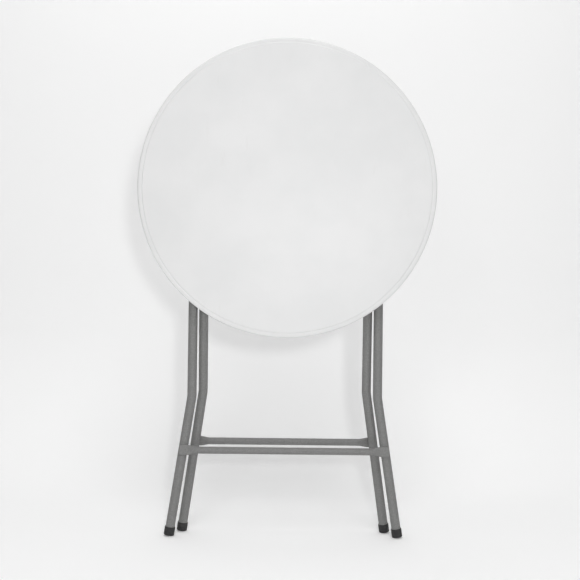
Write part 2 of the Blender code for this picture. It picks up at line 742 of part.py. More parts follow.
def make_hinge_bolt(side, hand, parent):
    """The bolt through the bracket, the washer and the top of the outer leg, and its lock nut."""
    grip = TUBE_DIAMETER + WASHER_THICKNESS + BRACKET_SHEET + 4 * SEAT_GAP
    length = grip + NUT_HEIGHT + SEAT_GAP + BOLT_END
    section = head_profile(
        BOLT_HEAD_DIAMETER / 2, BOLT_HEAD_HEIGHT, BOLT_DIAMETER / 2, length, BOLT_CHAMFER
    )
    bolt = turned_part("hinge_bolt_" + hand, section, ZINC)
    seat = OUTER_X - TUBE_RADIUS + grip
    place(bolt, parent, (side * seat, 0, 0), (0, side * math.pi / 2, 0))
    bore = BOLT_DIAMETER / 2 + RUN_GAP
    section = ring_profile(bore, WASHER_DIAMETER / 2, WASHER_THICKNESS, WASHER_CHAMFER)
    washer = turned_part("hinge_washer_" + hand, section, NYLON, closed=True)
    middle = OUTER_X + TUBE_RADIUS + SEAT_GAP + WASHER_THICKNESS / 2
    place(washer, parent, (side * middle, 0, 0), (0, math.pi / 2, 0))
    mesh = bpy.data.meshes.new("hinge_nut_" + hand)
    shape = bmesh.new()
    corner = NUT_ACROSS_FLATS / 2 / math.cos(math.pi / 6)
    bmesh.ops.create_cone(
        shape, cap_ends=True, segments=6, radius1=corner, radius2=corner, depth=NUT_HEIGHT
    )
    shape.to_mesh(mesh)
    shape.free()
    nut = new_part("hinge_nut_" + hand, mesh, ZINC)
    middle = OUTER_X - TUBE_RADIUS - SEAT_GAP - NUT_HEIGHT / 2
    turn = (0, math.pi / 2, 0)
    place(nut, parent, (side * middle, 0, 0), turn)
    hole = BOLT_DIAMETER / 2 + SEAT_GAP
    deep = NUT_HEIGHT + CUT_OVERRUN
    drill(nut, "hinge_nut_bore_" + hand, hole, deep, parent, (side * middle, 0, 0), turn)


clear_scene()
PARTS = new_collection("folding_cocktail_table")
CUTTERS = new_collection("cutters")
PLASTIC = new_material("white moulded polyethylene", (0.80, 0.80, 0.80), 0.55, 0.0)
STEEL = new_material("grey textured powder coat", (0.20, 0.20, 0.19), 0.45, 0.3)
RUBBER = new_material("black rubber", (0.02, 0.02, 0.02), 0.7, 0.0)
NYLON = new_material("black nylon", (0.03, 0.03, 0.03), 0.5, 0.0)
ZINC = new_material("zinc plated steel", (0.60, 0.60, 0.62), 0.3, 1.0)
SIDES = ((-1, "left"), (1, "right"))
UPRIGHT = (math.pi / 2, 0, math.pi / 2)

PIVOT_Z = LOWER_LENGTH * math.cos(FOLDED_TILT) + foot_sink(OUTER_SPLAY)
RISE = UPPER_LENGTH * math.cos(FOLDED_TILT)
LEAN = UPPER_LENGTH * math.sin(FOLDED_TILT)
HINGE = (0, PIVOT_Y + LEAN, PIVOT_Z + RISE)
BAR = (0, PIVOT_Y - LEAN, PIVOT_Z + RISE)

outer_axis = new_empty("outer_frame_axis", HINGE, -FOLDED_TILT)
inner_axis = new_empty("inner_frame_axis", BAR, FOLDED_TILT)
sleeve_axis = new_empty("sleeve_axis", BAR, math.pi / 2)
top_axis = new_empty("tabletop_axis", HINGE, math.pi / 2)

make_outer_frame(outer_axis)
make_inner_frame(inner_axis)
make_sleeves(sleeve_axis)
make_tabletop(top_axis)
for side, hand in SIDES:
    make_clip("top_clip_" + hand, side, top_axis)
    make_bracket("hinge_bracket_" + hand, side, top_axis)
    make_hinge_bolt(side, hand, outer_axis)
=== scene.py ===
import json
import math

import bpy
from mathutils import Matrix, Vector

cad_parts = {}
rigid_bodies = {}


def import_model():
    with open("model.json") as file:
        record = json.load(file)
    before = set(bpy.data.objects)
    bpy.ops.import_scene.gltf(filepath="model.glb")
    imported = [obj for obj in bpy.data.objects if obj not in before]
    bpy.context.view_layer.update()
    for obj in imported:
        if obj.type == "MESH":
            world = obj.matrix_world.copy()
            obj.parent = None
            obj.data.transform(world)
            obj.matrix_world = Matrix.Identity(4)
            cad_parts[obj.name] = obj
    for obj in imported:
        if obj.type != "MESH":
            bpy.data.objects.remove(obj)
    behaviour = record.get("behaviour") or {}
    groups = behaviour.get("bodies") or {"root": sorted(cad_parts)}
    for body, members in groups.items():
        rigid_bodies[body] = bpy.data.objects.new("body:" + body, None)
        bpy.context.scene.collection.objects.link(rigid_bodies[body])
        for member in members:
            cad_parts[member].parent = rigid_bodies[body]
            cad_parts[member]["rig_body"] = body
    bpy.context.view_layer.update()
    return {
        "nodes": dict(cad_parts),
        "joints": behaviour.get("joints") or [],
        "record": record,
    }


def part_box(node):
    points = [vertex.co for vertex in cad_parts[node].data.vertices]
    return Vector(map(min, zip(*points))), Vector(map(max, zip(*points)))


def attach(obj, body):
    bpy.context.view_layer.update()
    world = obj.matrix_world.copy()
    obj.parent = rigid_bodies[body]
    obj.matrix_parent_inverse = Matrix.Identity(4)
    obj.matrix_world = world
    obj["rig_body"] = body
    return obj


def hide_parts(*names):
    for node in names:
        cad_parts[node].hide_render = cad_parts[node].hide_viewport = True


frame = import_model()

# Folding cocktail table: a round moulded top that hangs folded in front of two crossed tube frames.
nodes = frame["nodes"]
joints = {joint["name"]: joint for joint in frame["joints"]}
mounts = {mount["name"]: Vector(mount["pos_m"]) for mount in frame["record"]["mounts"]}
hingeAxis = Vector(joints["top_hinge"]["pos_m"])
barAxis = Vector(joints["inner_fold"]["pos_m"])
print("frame loaded:", len(nodes), "nodes")


# Small helpers for shader trees

def newEffect(name, values, outputs):
    # A node group with a vector input, number inputs that start at these values, and number outputs
    group = bpy.data.node_groups.new(name, "ShaderNodeTree")
    sockets = group.interface
    sockets.new_socket(name="Vector", in_out="INPUT", socket_type="NodeSocketVector")
    for label, value in values.items():
        made = sockets.new_socket(name=label, in_out="INPUT", socket_type="NodeSocketFloat")
        made.default_value = value
    for label in outputs:
        sockets.new_socket(name=label, in_out="OUTPUT", socket_type="NodeSocketFloat")
    entry = group.nodes.new("NodeGroupInput")
    leave = group.nodes.new("NodeGroupOutput")
    entry.location = (-900, 0)
    leave.location = (700, 0)
    return group, entry.outputs, leave.inputs


def feed(tree, value, socket):
    # Links what another node gives, or sets a plain value
    if hasattr(value, "links"):
        tree.links.new(value, socket)
    else:
        socket.default_value = value


def addNode(tree, kind, place, **settings):
    made = tree.nodes.new(kind)
    made.location = place
    for key, value in settings.items():
        setattr(made, key, value)
    return made


def addMath(tree, operation, place, first, second):
    made = addNode(tree, "ShaderNodeMath", place, operation=operation)
    feed(tree, first, made.inputs[0])
    feed(tree, second, made.inputs[1])
    return made.outputs[0]


def addRamp(tree, place, source, stops):
    made = addNode(tree, "ShaderNodeValToRGB", place)
    ramp = made.color_ramp
    while len(ramp.elements) < len(stops):
        ramp.elements.new(0.5)
    for element, (spot, shade) in zip(ramp.elements, stops):
        element.position = spot
        element.color = (shade, shade, shade, 1)
    tree.links.new(source, made.inputs[0])
    return made.outputs["Color"]


def addMix(tree, place, share, first, second):
    made = addNode(tree, "ShaderNodeMix", place, data_type="RGBA")
    for index, value in ((0, share), (6, first), (7, second)):
        feed(tree, value, made.inputs[index])
    return made.outputs[2]


def addNoise(tree, place, where, scale, detail, rough=0.5):
    made = addNode(tree, "ShaderNodeTexNoise", place)
    made.inputs["Detail"].default_value = detail
    made.inputs["Roughness"].default_value = rough
    tree.links.new(where, made.inputs["Vector"])
    feed(tree, scale, made.inputs["Scale"])
    return made.outputs["Fac"]


def addRange(tree, place, source, span):
    # Spreads one stretch of a value over 0 to 1
    made = addNode(tree, "ShaderNodeMapRange", place)
    made.inputs["From Min"].default_value = span[0]
    made.inputs["From Max"].default_value = span[1]
    tree.links.new(source, made.inputs["Value"])
    return made.outputs[0]


# Shared effects

hammerEffect = {
    "warp": 0.0014,
    "smoothness": 0.6,
    "poolSpan": (0.15, 0.62),
    "flakeSpan": (0.46, 0.66),
    "flakeHeight": 0.12,
}


def makeHammerGroup():
    # Hammered powder coat: shallow round pools between raised veins, with flakes in the pools
    scales = {"Pool Scale": 420, "Flake Scale": 1500}
    group, given, results = newEffect("hammered coat", scales, ("Pools", "Flakes", "Height"))
    links = group.links
    where = given["Vector"]
    warp = addNode(group, "ShaderNodeTexNoise", (-700, 200))
    warp.inputs["Detail"].default_value = 1
    links.new(where, warp.inputs["Vector"])
    links.new(given["Pool Scale"], warp.inputs["Scale"])
    push = addNode(group, "ShaderNodeVectorMath", (-520, 200), operation="SCALE")
    links.new(warp.outputs["Color"], push.inputs[0])
    push.inputs["Scale"].default_value = hammerEffect["warp"]
    moved = addNode(group, "ShaderNodeVectorMath", (-340, 200), operation="ADD")
    links.new(where, moved.inputs[0])
    links.new(push.outputs[0], moved.inputs[1])
    cells = addNode(group, "ShaderNodeTexVoronoi", (-160, 200), feature="SMOOTH_F1")
    cells.inputs["Smoothness"].default_value = hammerEffect["smoothness"]
    links.new(moved.outputs[0], cells.inputs["Vector"])
    links.new(given["Pool Scale"], cells.inputs["Scale"])
    pools = addRange(group, (40, 200), cells.outputs["Distance"], hammerEffect["poolSpan"])
    specks = addNoise(group, (-160, -160), where, given["Flake Scale"], 2, 0.6)
    flakes = addRange(group, (40, -160), specks, hammerEffect["flakeSpan"])
    fine = addMath(group, "MULTIPLY", (240, -40), flakes, hammerEffect["flakeHeight"])
    height = addMath(group, "ADD", (420, 60), pools, fine)
    links.new(pools, results["Pools"])
    links.new(flakes, results["Flakes"])
    links.new(height, results["Height"])
    return group


def makeGrainGroup():
    # Fine even grain of a moulded surface
    scales = {"Grain Scale": 1400, "Cloud Scale": 9}
    group, given, results = newEffect("moulded grain", scales, ("Grain", "Clouds"))
    grain = addNoise(group, (-160, 140), given["Vector"], given["Grain Scale"], 3, 0.55)
    clouds = addNoise(group, (-160, -140), given["Vector"], given["Cloud Scale"], 4)
    group.links.new(grain, results["Grain"])
    group.links.new(clouds, results["Clouds"])
    return group


rubEffect = {
    "stretch": (1, 1, 0.12),
    "turn": (0.2, 0.5, 0.3),
    "lineSpan": (0.60, 0.72),
    "patchScale": 11,
    "patchSpan": (0.48, 0.68),
}


def makeScuffGroup():
    # Sparse fine rubbing marks, drawn out along one direction
    group, given, results = newEffect("rub marks", {"Scale": 60, "Amount": 0.5}, ("Marks",))
    drawn = addNode(group, "ShaderNodeMapping", (-700, 0))
    drawn.inputs["Scale"].default_value = rubEffect["stretch"]
    drawn.inputs["Rotation"].default_value = rubEffect["turn"]
    group.links.new(given["Vector"], drawn.inputs["Vector"])
    streaks = addNoise(group, (-480, 120), drawn.outputs[0], given["Scale"], 6, 0.65)
    patches = addNoise(group, (-480, -120), given["Vector"], rubEffect["patchScale"], 2)
    lines = addRange(group, (-240, 120), streaks, rubEffect["lineSpan"])
    held = addRange(group, (-240, -120), patches, rubEffect["patchSpan"])
    both = addMath(group, "MULTIPLY", (0, 0), lines, held)
    marks = addMath(group, "MULTIPLY", (200, 0), both, given["Amount"])
    group.links.new(marks, results["Marks"])
    return group


hammerGroup = makeHammerGroup()
grainGroup = makeGrainGroup()
scuffGroup = makeScuffGroup()
print("shader groups made")


# Finishes

def newFinish(name, colour, roughness, metallic=0.0):
    made = bpy.data.materials.new(name)
    made.use_nodes = True
    tree = made.node_tree
    shader = tree.nodes["Principled BSDF"]
    shader.inputs["Base Color"].default_value = (*colour, 1)
    shader.inputs["Roughness"].default_value = roughness
    shader.inputs["Metallic"].default_value = metallic
    where = addNode(tree, "ShaderNodeTexCoord", (-1300, 0)).outputs["Object"]
    return made, tree, shader, where


def useGroup(tree, group, place, where, values):
    made = addNode(tree, "ShaderNodeGroup", place, node_tree=group)
    tree.links.new(where, made.inputs["Vector"])
    for label, value in values.items():
        made.inputs[label].default_value = value
    return made


def useGrain(tree, where, values):
    scales = {"Grain Scale": values["grainScale"], "Cloud Scale": values["cloudScale"]}
    return useGroup(tree, grainGroup, (-1000, 100), where, scales)


def useScuffs(tree, where, values):
    marks = {"Scale": values["scuffScale"], "Amount": values["scuffAmount"]}
    return useGroup(tree, scuffGroup, (-1000, -200), where, marks).outputs["Marks"]


def addRoughness(tree, shader, source, values):
    # Roughness that follows a pattern, up from a little under the plain value
    spread = addMath(tree, "MULTIPLY", (-480, -60), source, values["roughSpread"])
    rough = addMath(tree, "ADD", (-260, -60), spread, values["roughness"] - values["roughUnder"])
    tree.links.new(rough, shader.inputs["Roughness"])


def addBump(tree, shader, height, values):
    bump = addNode(tree, "ShaderNodeBump", (-220, -320))
    bump.inputs["Distance"].default_value = values["depth"]
    bump.inputs["Strength"].default_value = values["strength"]
    tree.links.new(height, bump.inputs["Height"])
    tree.links.new(bump.outputs["Normal"], shader.inputs["Normal"])


topFinish = {
    "white": (0.80, 0.80, 0.80),
    "shade": (0.765, 0.768, 0.768),
    "scuff": (0.66, 0.65, 0.63),
    "roughness": 0.44,
    "roughUnder": 0.06,
    "roughSpread": 0.12,
    "grainScale": 1100,
    "cloudScale": 7,
    "clouds": [(0.35, 0), (0.65, 1)],
    "scuffScale": 55,
    "scuffAmount": 0.35,
    "depth": 0.00012,
    "strength": 0.35,
}


def makeTopMaterial():
    made, tree, shader, where = newFinish("white moulded top", topFinish["white"], topFinish["roughness"])
    grain = useGrain(tree, where, topFinish)
    clouds = addRamp(tree, (-760, 240), grain.outputs["Clouds"], topFinish["clouds"])
    body = addMix(tree, (-480, 240), clouds, (*topFinish["shade"], 1), (*topFinish["white"], 1))
    scuffs = useScuffs(tree, where, topFinish)
    colour = addMix(tree, (-260, 240), scuffs, body, (*topFinish["scuff"], 1))
    tree.links.new(colour, shader.inputs["Base Color"])
    addRoughness(tree, shader, grain.outputs["Grain"], topFinish)
    addBump(tree, shader, grain.outputs["Grain"], topFinish)
    return made


coatFinish = {
    "vein": (0.180, 0.180, 0.177),
    "pool": (0.240, 0.240, 0.236),
    "flake": (0.37, 0.37, 0.365),
    "flakeShare": 0.5,
    "scuff": (0.33, 0.33, 0.32),
    "roughness": 0.46,
    "roughUnder": 0,
    "roughSpread": 0.12,
    "metallic": 0.20,
    "gloss": 0.25,
    "poolScale": 450,
    "flakeScale": 1500,
    "scuffScale": 90,
    "scuffAmount": 0.35,
    "depth": 0.00012,
    "strength": 0.7,
}


def makeCoatMaterial():
    made, tree, shader, where = newFinish("grey hammered coat", coatFinish["pool"], coatFinish["roughness"])
    shader.inputs["Specular IOR Level"].default_value = coatFinish["gloss"]
    scales = {"Pool Scale": coatFinish["poolScale"], "Flake Scale": coatFinish["flakeScale"]}
    coat = useGroup(tree, hammerGroup, (-1000, 100), where, scales)
    pools, flakes = coat.outputs["Pools"], coat.outputs["Flakes"]
    body = addMix(tree, (-680, 240), pools, (*coatFinish["pool"], 1), (*coatFinish["vein"], 1))
    share = addMath(tree, "MULTIPLY", (-680, 60), flakes, coatFinish["flakeShare"])
    speckled = addMix(tree, (-460, 240), share, body, (*coatFinish["flake"], 1))
    scuffs = useScuffs(tree, where, coatFinish)
    worn = addMix(tree, (-260, 240), scuffs, speckled, (*coatFinish["scuff"], 1))
    tree.links.new(worn, shader.inputs["Base Color"])
    metal = addMath(tree, "MULTIPLY", (-260, 60), flakes, coatFinish["metallic"])
    tree.links.new(metal, shader.inputs["Metallic"])
    addRoughness(tree, shader, pools, coatFinish)
    addBump(tree, shader, coat.outputs["Height"], coatFinish)
    return made


rubberFinish = {
    "colour": (0.016, 0.016, 0.017),
    "drift": (0.055, 0.054, 0.052),
    "clouds": [(0.45, 0), (0.8, 0.7)],
    "roughness": 0.62,
    "roughUnder": 0.1,
    "roughSpread": 0.2,
    "roughFrom": "Clouds",
    "metallic": 0,
    "grainScale": 1800,
    "cloudScale": 120,
    "depth": 0.0001,
    "strength": 0.5,
}
nylonFinish = {
    "colour": (0.020, 0.020, 0.021),
    "drift": (0.042, 0.042, 0.043),
    "clouds": [(0, 0), (1, 1)],
    "roughness": 0.42,
    "roughUnder": 0.1,
    "roughSpread": 0.2,
    "roughFrom": "Grain",
    "metallic": 0,
    "grainScale": 1500,
    "cloudScale": 60,
    "depth": 0.00008,
    "strength": 0.4,
}
zincFinish = {
    "colour": (0.62, 0.62, 0.64),
    "drift": (0.42, 0.42, 0.43),
    "clouds": [(0.4, 1), (0.62, 0)],
    "roughness": 0.30,
    "roughUnder": 0.1,
    "roughSpread": 0.25,
    "roughFrom": "Clouds",
    "metallic": 1,
    "grainScale": 900,
    "cloudScale": 260,
    "depth": 0.00005,
    "strength": 0.4,
}


def makeCloudedMaterial(name, values):
    # A plain finish with a fine grain, whose colour drifts towards another shade
    colour, drift = values["colour"], values["drift"]
    made, tree, shader, where = newFinish(name, colour, values["roughness"], values["metallic"])
    grain = useGrain(tree, where, values)
    clouds = addRamp(tree, (-700, 200), grain.outputs["Clouds"], values["clouds"])
    mixed = addMix(tree, (-400, 200), clouds, (*colour, 1), (*drift, 1))
    tree.links.new(mixed, shader.inputs["Base Color"])
    addRoughness(tree, shader, grain.outputs[values["roughFrom"]], values)
    addBump(tree, shader, grain.outputs["Grain"], values)
    return made


finishes = {
    "top": makeTopMaterial(),
    "powder_coat": makeCoatMaterial(),
    "rubber": makeCloudedMaterial("black rubber", rubberFinish),
    "nylon": makeCloudedMaterial("black nylon", nylonFinish),
    "zinc": makeCloudedMaterial("bright zinc", zincFinish),
}
print("finishes made:", ", ".join(finishes))

for part in frame["record"]["subparts"]:
    piece = nodes[part["node"]]
    piece.data.materials.clear()
    piece.data.materials.append(finishes[part["material_slot"]])


# Modelling helpers, all in edit mode as by hand

joined = 0.00001  # points closer than this are merged
flush = 0.000005  # a point this near a plane lies in it
cornerAngles = {"plain": 35, "underside": 28, "rounded": 40, "pressed": 50, "bead": 60}  # degrees


def startFresh():
    if bpy.context.object and bpy.context.object.mode != "OBJECT":
        bpy.ops.object.mode_set(mode="OBJECT")
    bpy.ops.object.select_all(action="DESELECT")


def makeActive(piece):
    startFresh()
    piece.select_set(True)
    bpy.context.view_layer.objects.active = piece


def keepNew(name):
    # Names the primitive that was just added, and keeps its place in its mesh
    made = bpy.context.object
    made.name = name
    made.data.name = name
    bpy.ops.object.transform_apply(location=True, rotation=True, scale=True)
    return made


def addCircle(name, sides, radius, place=(0, 0, 0), facing=(0, 0, 1)):
    startFresh()
    turn = Vector(facing).to_track_quat("Z", "Y").to_euler()
    bpy.ops.mesh.primitive_circle_add(vertices=sides, radius=radius, location=place, rotation=turn)
    made = keepNew(name)
    bpy.ops.object.mode_set(mode="EDIT")
    bpy.ops.mesh.select_all(action="SELECT")
    return made


def extrude(step):
    bpy.ops.mesh.extrude_region_move(TRANSFORM_OT_translate={"value": tuple(step)})


def selectParts(piece, wanted, kind="EDGE"):
    # Selects the edges or points whose middle is wanted, and goes back to edit mode
    bpy.ops.object.mode_set(mode="OBJECT")
    mesh = piece.data
    for item in (*mesh.vertices, *mesh.edges, *mesh.polygons):
        item.select = False
    bpy.ops.object.mode_set(mode="EDIT")
    bpy.ops.mesh.select_mode(type=kind)
    bpy.ops.object.mode_set(mode="OBJECT")
    for item in {"VERT": mesh.vertices, "EDGE": mesh.edges}[kind]:
        corners = [item.co] if kind == "VERT" else [mesh.vertices[index].co for index in item.vertices]
        if wanted(sum(corners, Vector()) / len(corners)):
            item.select = True
    bpy.ops.object.mode_set(mode="EDIT")


def smoothPiece(piece, kind="plain"):
    makeActive(piece)
    bpy.ops.object.shade_smooth_by_angle(angle=math.radians(cornerAngles[kind]))


def finishMesh(piece, kind="plain"):
    # Ends edit mode with outward faces, smooth apart from real corners
    bpy.ops.object.mode_set(mode="EDIT")
    bpy.ops.mesh.select_all(action="SELECT")
    bpy.ops.mesh.remove_doubles(threshold=joined)
    bpy.ops.mesh.normals_make_consistent(inside=False)
    bpy.ops.object.mode_set(mode="OBJECT")
    smoothPiece(piece, kind)
    return piece


def applyModifier(piece, kind, **settings):
    makeActive(piece)
    made = piece.modifiers.new(kind.title(), kind)
    for key, value in settings.items():
        setattr(made, key, value)
    bpy.ops.object.modifier_apply(modifier=made.name)


def cutPiece(piece, cutter, operation="DIFFERENCE", kind="plain"):
    applyModifier(piece, "BOOLEAN", operation=operation, solver="EXACT", object=cutter)
    bpy.data.objects.remove(cutter)
    finishMesh(piece, kind)


def addPrism(name, sides, radius, height, middle=(0, 0, 0), turn=(0, 0, 0)):
    startFresh()
    bpy.ops.mesh.primitive_cylinder_add(
        vertices=sides, radius=radius, depth=height, location=middle, rotation=turn
    )
    return keepNew(name)


def turnPiece(name, rings, sides):
    # A turned shape: a circle extruded and resized from ring to ring
    made = addCircle(name, sides, rings[0][0], (0, 0, rings[0][1]))
    for (radius, height), (nextRadius, nextHeight) in zip(rings, rings[1:]):
        extrude((0, 0, nextHeight - height))
        share = nextRadius / radius
        bpy.ops.transform.resize(value=(share, share, 1), center_override=(0, 0, nextHeight))
    return made


def fillEnds(piece, *heights, reach=1):
    # Closes the rings at these heights that lie within reach of the axis
    for height in heights:
        selectParts(piece, lambda middle: abs(middle.z - height) < flush and middle.xy.length < reach)
        bpy.ops.mesh.edge_face_add()


def roundCorner(middle, radius, first, last, steps):
    # Ring sizes (radius, height) along a rounded corner, between two angles in degrees
    rings = []
    for step in range(steps + 1):
        angle = math.radians(first + (last - first) * step / steps)
        rings.append((middle[0] + radius * math.cos(angle), middle[1] + radius * math.sin(angle)))
    return rings


def settle(piece, place, facing=None, turn=None):
    # Turns the piece's own Z to face a way, puts it in its place and keeps that in its mesh
    if turn is None:
        turn = Vector(facing).to_track_quat("Z", "Y").to_matrix().to_4x4()
    piece.matrix_world = Matrix.Translation(place) @ turn
    makeActive(piece)
    bpy.ops.object.transform_apply(location=True, rotation=True, scale=True)
    return piece


def dress(piece, finish, body, *stoodFor, weighted=True):
    if weighted:  # long faces stay flat in shade beside small roundings
        applyModifier(piece, "WEIGHTED_NORMAL", keep_sharp=True)
    piece.data.materials.clear()
    piece.data.materials.append(finishes[finish])
    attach(piece, body)
    if stoodFor:
        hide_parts(*stoodFor)
    return piece


def copyPiece(piece, name):
    made = piece.copy()
    made.data = piece.data.copy()
    made.name = name
    made.data.name = name
    bpy.context.scene.collection.objects.link(made)
    return made


def bodyOf(node):
    return nodes[node]["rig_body"]


def middleOf(node):
    low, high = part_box(node)
    return (low + high) / 2


hands = {"left": -1, "right": 1}


# The round top: spun rings, then dimples pressed into the underside

top = {
    "sides": 256,
    "plate": 0.026,
    "rimDrop": 0.016,
    "rimWidth": 0.022,
    "ringInset": 0.0122,
    "ringSlope": 0.0034,
    "ringDrop": 0.0015,
    "groove": 0.0001,
    "grooveWidth": 0.0006,
    "crestRadius": 0.004,
    "crestTurn": 30,
    "crestSteps": 6,
    "bandDrop": 0.0008,
    "edgeRadius": 0.005,
    "edgeSteps": 7,
    "footRadius": 0.004,
    "footSteps": 6,
    "recessRadius": 0.006,
    "recessSteps": 6,
    "seamInset": 0.0003,
    "seamWidth": 0.0008,
}

dimple = {
    "spacing": 0.046,
    "mouth": 0.0085,
    "floor": 0.0036,
    "flare": 0.0020,
    "depth": 0.014,
    "sides": 14,
    "reach": 0.352,
    "bracketPad": (0.030, 0.046),
    "clipPad": (0.034, 0.052),
    "vent": 0.003,
    "ventSides": 20,
    "ventDepth": 0.006,
    "ventUp": 0.040,
}


def topRings(radius):
    plate = -top["plate"]
    foot = plate - top["rimDrop"]
    inside = radius - top["rimWidth"]
    lip = top["footRadius"] / 2
    ring = radius - top["ringInset"]
    band = -top["ringDrop"]
    crest = (ring - top["ringSlope"], -top["crestRadius"])
    edge = (radius - top["edgeRadius"], band - top["bandDrop"] - top["edgeRadius"])
    low = (radius - top["footRadius"], foot + top["footRadius"])
    seam = (edge[1] + low[1]) / 2
    corner = (inside - top["recessRadius"], plate - top["recessRadius"])
    return [
        *roundCorner(crest, top["crestRadius"], 90, 90 - top["crestTurn"], top["crestSteps"]),
        (ring, band - top["groove"]),
        (ring + top["grooveWidth"], band),
        *roundCorner(edge, top["edgeRadius"], 90, 0, top["edgeSteps"]),
        (radius, seam + top["seamWidth"] / 2),
        (radius - top["seamInset"], seam),
        (radius, seam - top["seamWidth"] / 2),
        *roundCorner(low, top["footRadius"], 0, -90, top["footSteps"]),
        (inside + lip, foot),
        (inside + lip / 3, foot + lip / 3),
        (inside, foot + lip),
        *roundCorner(corner, top["recessRadius"], 0, 90, top["recessSteps"]),
    ]


def dimpleSpots(centre):
    # A honeycomb of spots on the underside, clear of the pads that the fittings sit on
    pads = [
        (middleOf(f"{stem}_{hand}"), dimple[pad])
        for hand in hands
        for stem, pad in (("hinge_bracket", "bracketPad"), ("top_clip", "clipPad"))
    ]
    spots = []
    rowStep = dimple["spacing"] * math.sin(math.pi / 3)
    rows = int(dimple["reach"] / rowStep) + 1
    for row in range(-rows, rows + 1):
        for column in range(-rows - 2, rows + 3):
            x = (column + (row % 2) / 2) * dimple["spacing"]
            z = row * rowStep
            if math.hypot(x, z) > dimple["reach"]:
                continue
            near = [abs(x - m.x) < w and abs(centre.z + z - m.z) < h for m, (w, h) in pads]
            if not any(near):
                spots.append((x, z))
    return spots


def makeDimpleCutter(spots, under):
    # Each cone runs on out through the underside, so that none of its rings lies in it
    past = dimple["flare"] / 2
    rings = [
        (dimple["mouth"] + dimple["flare"] + past, under - past),
        (dimple["mouth"], under + dimple["flare"]),
        (dimple["floor"], under + dimple["depth"]),
    ]
    first = turnPiece("dimple", rings, dimple["sides"])
    fillEnds(first, rings[0][1], rings[-1][1])
    finishMesh(first)
    cutters = []
    for x, z in spots:
        cutter = copyPiece(first, "dimple_cut")
        cutter.location = (x, z, 0)
        cutters.append(cutter)
    bpy.data.objects.remove(first)
    ventSpot = (0, dimple["ventUp"], under)
    cutters.append(addPrism("vent", dimple["ventSides"], dimple["vent"], dimple["ventDepth"], ventSpot))
    startFresh()
    for cutter in cutters:
        cutter.select_set(True)
    bpy.context.view_layer.objects.active = cutters[0]
    bpy.ops.object.join()
    return cutters[0]


def makeTop():
    low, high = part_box("tabletop")
    centre = Vector((0, mounts["top_face"].y, mounts["top_face"].z))
    rings = topRings((high.x - low.x) / 2)
    made = turnPiece("round_top", rings, top["sides"])
    fillEnds(made, rings[0][1], rings[-1][1])
    finishMesh(made)
    cutPiece(made, makeDimpleCutter(dimpleSpots(centre), -top["plate"]), kind="underside")
    settle(made, centre, facing=(0, -1, 0))
    return dress(made, "top", "top", "tabletop", weighted=False)


makeTop()
print("top made")


# Bent tubes

tube = {
    "radius": 0.0125,
    "wall": 0.0012,
    "sides": 40,
    "kneeRadius": 0.080,
    "kneeSteps": 8,
    "cornerRadius": 0.055,
    "cornerSteps": 14,
    "legTop": 0.018,
    "cutSides": 96,
}
bar = {
    "radius": 0.0095,
    "wall": 0.0012,
    "sides": 32,
    "flatHeight": 0.027,
    "flatThickness": 0.0052,
    "flatLength": 0.022,
    "taperLength": 0.028,
    "taperSteps": 9,
    "endRound": 0.0012,
    "endShares": (0.55, 0.94),
    "drain": 0.002,
    "drainSides": 16,
    "drainDepth": 0.006,
}
knees = {"outer": 0.376, "inner": 0.388}  # how far up from the feet the legs bend
capFloor = 0.0043  # how far up in its foot cap a tube ends
pinHoleReach = 0.006  # the points of a pin's hole lie this near its height
foldedTilt = math.radians(2)
axes = {"outer": hingeAxis, "inner": barAxis}
leans = {"outer": -foldedTilt, "inner": foldedTilt}
barFaces = {"outer": -1, "inner": 1}  # the side of the legs that each crossbar lies on
kneeBend = (tube["kneeRadius"], tube["kneeSteps"])
cornerBend = (tube["cornerRadius"], tube["cornerSteps"])


def sweepTube(name, corners, bends, stock):
    # A circle extruded along the straight runs and spun round each bend
    spot = corners[0]
    made = addCircle(name, stock["sides"], stock["radius"], spot, corners[1] - spot)
    for index, (bendRadius, steps) in enumerate(bends, start=1):
        corner = corners[index]
        back = (corners[index - 1] - corner).normalized()
        ahead = (corners[index + 1] - corner).normalized()
        half = back.angle(ahead) / 2
        start = corner + back * (bendRadius / math.tan(half))
        middle = corner + (back + ahead).normalized() * (bendRadius / math.sin(half))
        extrude(start - spot)
        bpy.ops.mesh.spin(steps=steps, angle=math.pi - 2 * half, center=middle, axis=back.cross(ahead))
        spot = corner + ahead * (bendRadius / math.tan(half))
    extrude(corners[-1] - spot)
    finishMesh(made, "rounded")
    applyModifier(made, "SOLIDIFY", thickness=stock["wall"], offset=-1, use_rim=True)
    smoothPiece(made, "rounded")  # the rims at the ends are new corners
    return made


def framePoint(kind, x, down):
    # A point of a frame, this far down it from its top axis
    axis = axes[kind]
    return Vector((x, axis.y + down * math.sin(leans[kind]), axis.z - down * math.cos(leans[kind])))


def straightX(kind):
    # How far out the upper run of a leg stands, from the hole for the scissor pin
    node = {"outer": "outer_leg_right", "inner": "inner_frame"}[kind]
    pin = middleOf(f"pivot_pin_{kind}_right")
    points = [point.co for point in nodes[node].data.vertices]
    near = [point.x for point in points if abs(point.z - pin.z) < pinHoleReach and point.x > 0]
    return max(near) - tube["radius"]


def legRun(kind, hand):
    # The end of the tube in its foot cap, and the knee above it
    foot = mounts[f"foot_{kind}_{hand}"]
    reach = (axes[kind].z - foot.z) / math.cos(foldedTilt)
    knee = framePoint(kind, hands[hand] * straightX(kind), reach - knees[kind])
    return foot + (knee - foot).normalized() * capFloor, knee


def makeOuterLeg(hand):
    node = f"outer_leg_{hand}"
    foot, knee = legRun("outer", hand)
    end = framePoint("outer", hands[hand] * straightX("outer"), -tube["legTop"])
    made = sweepTube(f"bent_{node}", [foot, knee, end], [kneeBend], tube)
    return dress(made, "powder_coat", bodyOf(node), node)


